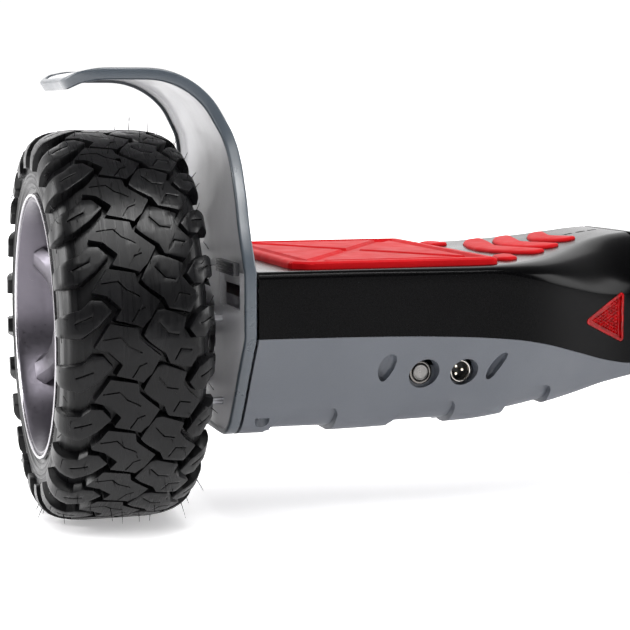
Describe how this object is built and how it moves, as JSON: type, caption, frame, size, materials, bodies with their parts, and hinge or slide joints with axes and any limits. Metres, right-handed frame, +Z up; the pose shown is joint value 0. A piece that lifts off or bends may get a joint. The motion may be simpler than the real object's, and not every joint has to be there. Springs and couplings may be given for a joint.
{
  "type": "self balancing hoverboard",
  "caption": "Two-wheeled self balancing board: twisting body halves, hub-motor wheels with chunky tyres, wheel arches and red foot mats.",
  "frame": {"origin": "on the floor, midway between the two wheels and under the axle line", "axes": "+X along the axle to the rider's right, +Y the direction of travel, +Z up"},
  "size_m": [0.6996, 0.216, 0.249],
  "materials": {
    "gloss_black": "high gloss moulded plastic",
    "satin_grey": "fine-grained satin moulded plastic",
    "arch_silver": "satin silver-grey moulded plastic",
    "clip_black": "matt black",
    "mat_red": "smooth matt rubber",
    "lamp_red": "translucent prismatic lens",
    "lamp_clear": "clear prismatic lens",
    "window_smoke": "smoked window",
    "cast_alloy": "die-cast, as cast",
    "axle_steel": "ground steel",
    "stator_copper": "laminations and enamelled winding",
    "circuit_green": "solder mask",
    "screw_steel": "zinc plated",
    "bright_ring": "polished ring",
    "spun_metal": "spun face",
    "insert_black": "moulded insert",
    "pin_gold": "plated pins",
    "washer_nylon": "nylon",
    "cable_black": "sleeved cable",
    "tyre": "moulded rubber with sharp tread",
    "rim_gunmetal": "painted satin with turned lip",
    "magnet_grey": "plated magnets",
    "bearing_steel": "ground rings",
    "battery_blue": "shrink-wrapped pack with straps",
    "bush_bronze": "sintered bronze"
  },
  "bodies": {
    "left_half": {"left_upper_shell": "gloss_black", "left_lower_shell": "satin_grey", "left_fender": "arch_silver", "left_fender_clips": "clip_black", "left_grip_insert": "mat_red", "left_rear_light": "lamp_red", "left_front_light": "lamp_clear", "left_status_window": "window_smoke", "left_chassis": "cast_alloy", "left_axle_clamp": "cast_alloy", "left_axle": "axle_steel", "left_stator": "stator_copper", "left_foot_switches": "circuit_green", "left_gyro_board": "circuit_green", "left_shell_screws": "screw_steel", "left_fender_screws": "screw_steel", "main_board": "circuit_green", "speaker": "clip_black", "power_button_housing": "bright_ring", "charge_socket": "bright_ring", "charge_insert": "insert_black", "charge_pins": "pin_gold", "pivot_tube": "axle_steel", "pivot_washer": "washer_nylon", "pivot_circlip": "screw_steel", "link_cable": "cable_black"},
    "right_half": {"right_upper_shell": "gloss_black", "right_lower_shell": "satin_grey", "right_fender": "arch_silver", "right_fender_clips": "clip_black", "right_grip_insert": "mat_red", "right_rear_light": "lamp_red", "right_front_light": "lamp_clear", "right_status_window": "window_smoke", "right_chassis": "cast_alloy", "right_axle_clamp": "cast_alloy", "right_axle": "axle_steel", "right_stator": "stator_copper", "right_foot_switches": "circuit_green", "right_gyro_board": "circuit_green", "right_shell_screws": "screw_steel", "right_fender_screws": "screw_steel", "battery_pack": "battery_blue", "pivot_bush": "bush_bronze"},
    "left_wheel": {"left_tyre": "tyre", "left_rim": "rim_gunmetal", "left_hub_cover": "rim_gunmetal", "left_magnet_ring": "magnet_grey", "left_bearings": "bearing_steel"},
    "right_wheel": {"right_tyre": "tyre", "right_rim": "rim_gunmetal", "right_hub_cover": "rim_gunmetal", "right_magnet_ring": "magnet_grey", "right_bearings": "bearing_steel"},
    "left_mat": {"left_foot_mat": "mat_red"},
    "right_mat": {"right_foot_mat": "mat_red"},
    "power_button": {"power_button_cap": "spun_metal"}
  },
  "joints": [
    {"name": "centre_pivot", "type": "hinge", "parent": "left_half", "child": "right_half", "pos_m": [0, 0, 0.108], "axis": [1, 0, 0], "range_deg": [-12, 12], "stiffness_Nm_per_rad": 8},
    {"name": "left_wheel_spin", "type": "hinge", "parent": "left_half", "child": "left_wheel", "pos_m": [-0.3088, 0, 0.108], "axis": [1, 0, 0], "continuous": true},
    {"name": "right_wheel_spin", "type": "hinge", "parent": "right_half", "child": "right_wheel", "pos_m": [0.3088, 0, 0.108], "axis": [1, 0, 0], "continuous": true},
    {"name": "left_mat_press", "type": "slide", "parent": "left_half", "child": "left_mat", "axis": [0, 0, -1], "range_m": [0, 0.0015], "stiffness_N_per_m": 8000, "springref_m": -0.0005},
    {"name": "right_mat_press", "type": "slide", "parent": "right_half", "child": "right_mat", "axis": [0, 0, -1], "range_m": [0, 0.0015], "stiffness_N_per_m": 8000, "springref_m": -0.0005},
    {"name": "power_button_press", "type": "slide", "parent": "left_half", "child": "power_button", "axis": [0, 1, 0], "range_m": [0, 0.0015], "stiffness_N_per_m": 400, "springref_m": -0.0005}
  ]
}
